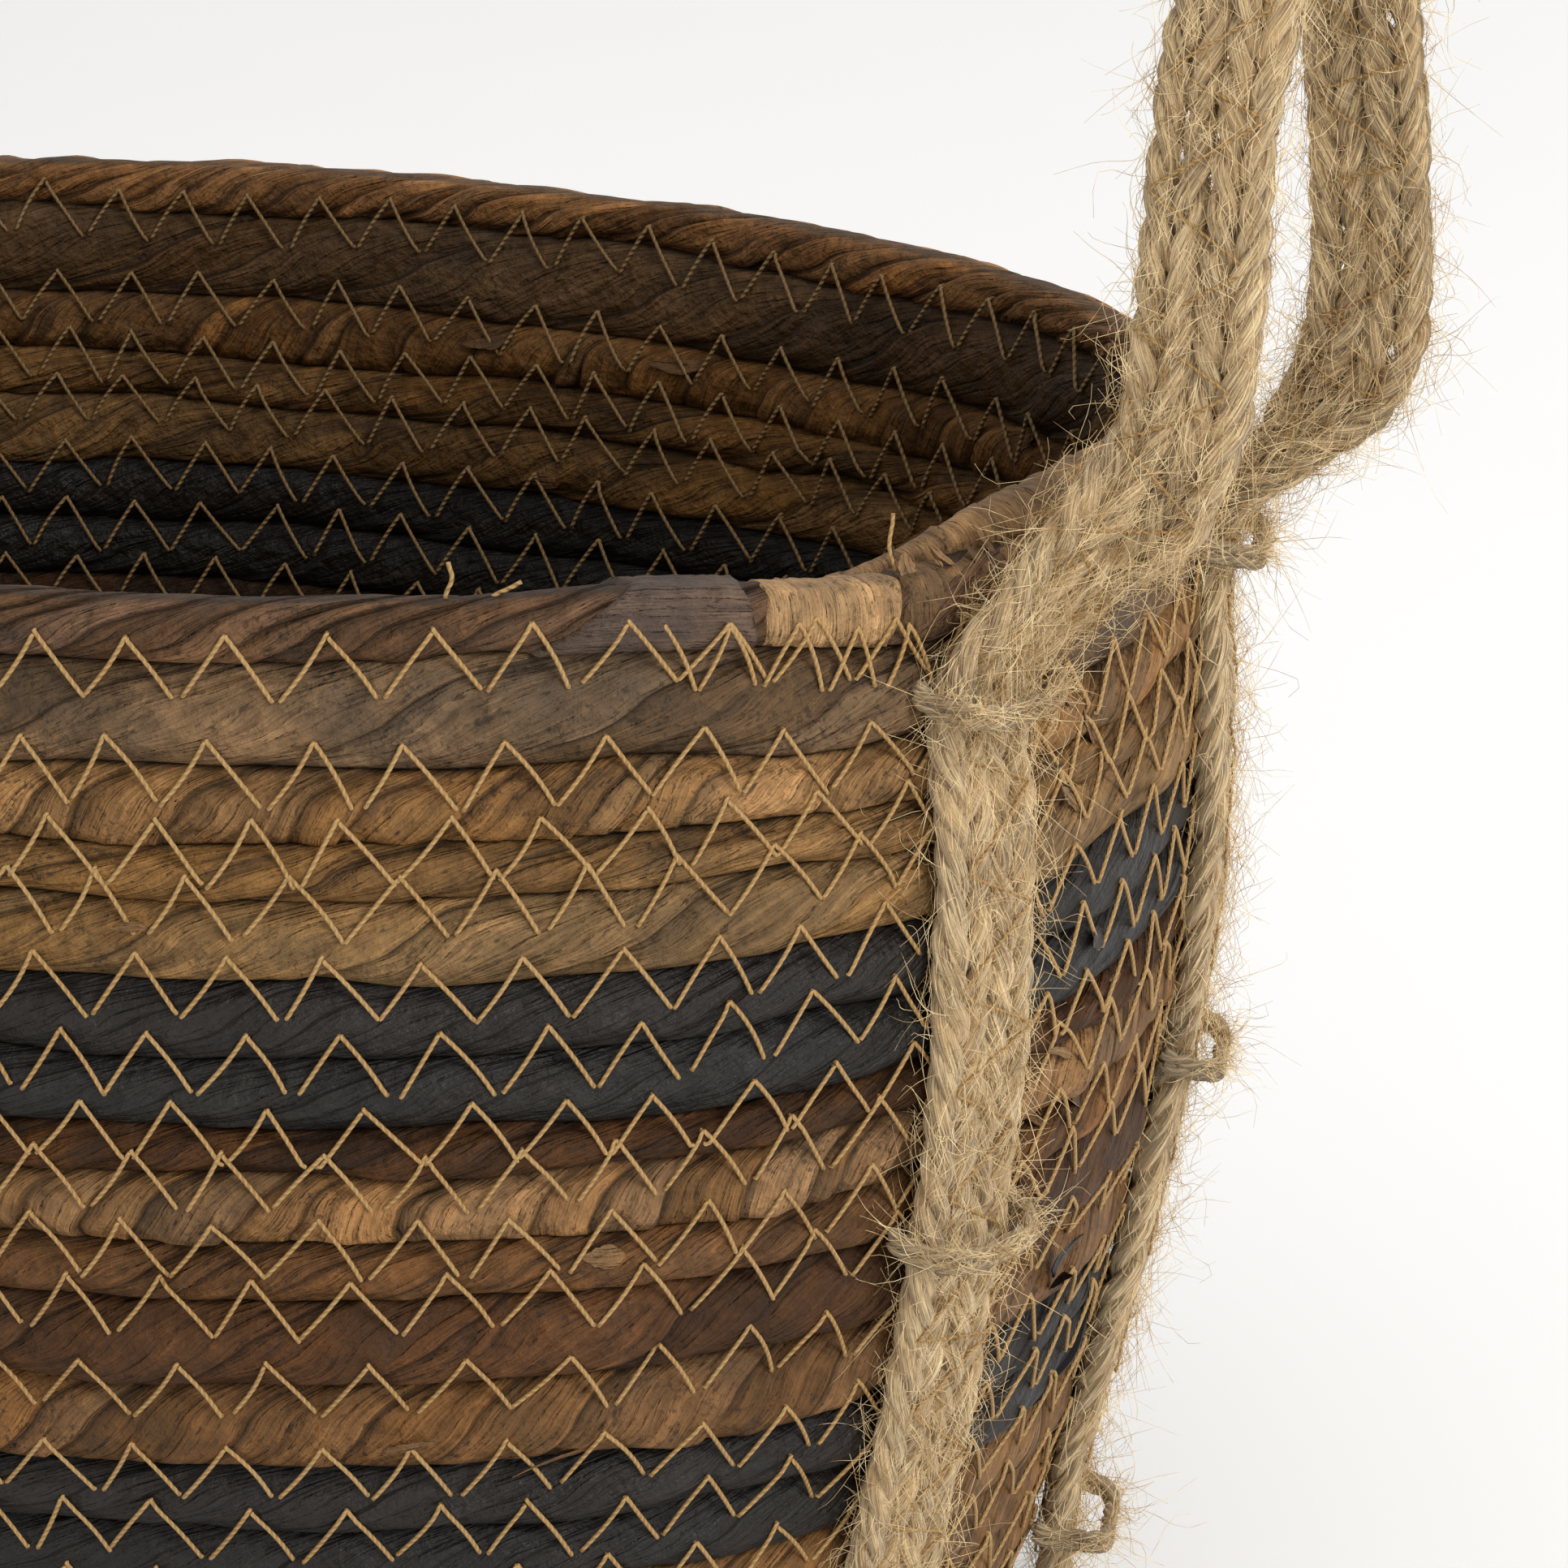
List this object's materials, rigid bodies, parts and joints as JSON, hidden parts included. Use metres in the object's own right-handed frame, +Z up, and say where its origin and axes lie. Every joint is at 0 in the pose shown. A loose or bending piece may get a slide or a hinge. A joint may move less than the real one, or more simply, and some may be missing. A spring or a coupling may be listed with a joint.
{
  "type": "woven market basket",
  "caption": "Oval basket of coiled leaf rope in natural and black bands, with two jute strap handles that fold at the rim.",
  "frame": {"origin": "middle of the base, on the surface that the basket stands on", "axes": "+Z up; +X along the long side, from the middle towards the right handle; +Y towards the back"},
  "size_m": [0.3672, 0.2434, 0.274],
  "materials": {
    "natural_leaf": "matte dried leaf rope",
    "black_leaf": "dyed dried leaf rope, slight sheen",
    "jute_strap": "matte hairy jute",
    "jute_tie": "matte hairy jute",
    "stitch_thread": "waxed golden thread"
  },
  "bodies": {
    "basket": {"rim_coil": "natural_leaf", "wall_coil_02": "natural_leaf", "wall_coil_03": "natural_leaf", "wall_coil_04": "natural_leaf", "wall_coil_05": "natural_leaf", "wall_coil_06_black": "black_leaf", "wall_coil_07_black": "black_leaf", "wall_coil_08": "natural_leaf", "wall_coil_09": "natural_leaf", "wall_coil_10": "natural_leaf", "wall_coil_11": "natural_leaf", "wall_coil_12": "natural_leaf", "wall_coil_13_black": "black_leaf", "wall_coil_14_black": "black_leaf", "wall_coil_15": "natural_leaf", "wall_coil_16": "natural_leaf", "wall_coil_17": "natural_leaf", "wall_coil_18": "natural_leaf", "wall_coil_19": "natural_leaf", "base_coil_01": "natural_leaf", "base_coil_02": "natural_leaf", "base_coil_03": "natural_leaf", "base_coil_04": "natural_leaf", "base_coil_05": "natural_leaf", "base_coil_06": "natural_leaf", "base_coil_07": "natural_leaf", "base_coil_08": "natural_leaf", "base_middle_strip": "natural_leaf", "right_front_leg_strap": "jute_strap", "right_front_rim_tie": "jute_tie", "right_front_middle_tie": "jute_tie", "right_front_foot_tie": "jute_tie", "right_back_leg_strap": "jute_strap", "right_back_rim_tie": "jute_tie", "right_back_middle_tie": "jute_tie", "right_back_foot_tie": "jute_tie", "left_front_leg_strap": "jute_strap", "left_front_rim_tie": "jute_tie", "left_front_middle_tie": "jute_tie", "left_front_foot_tie": "jute_tie", "left_back_leg_strap": "jute_strap", "left_back_rim_tie": "jute_tie", "left_back_middle_tie": "jute_tie", "left_back_foot_tie": "jute_tie"},
    "right_handle": {"right_handle_loop": "jute_strap"},
    "left_handle": {"left_handle_loop": "jute_strap"}
  },
  "joints": [
    {"name": "right_handle_fold", "type": "hinge", "parent": "basket", "child": "right_handle", "pos_m": [0.157, 0, 0.18], "axis": [0, 1, 0], "range_deg": [-35, 80]},
    {"name": "left_handle_fold", "type": "hinge", "parent": "basket", "child": "left_handle", "pos_m": [-0.157, 0, 0.18], "axis": [0, -1, 0], "range_deg": [-35, 80]}
  ]
}
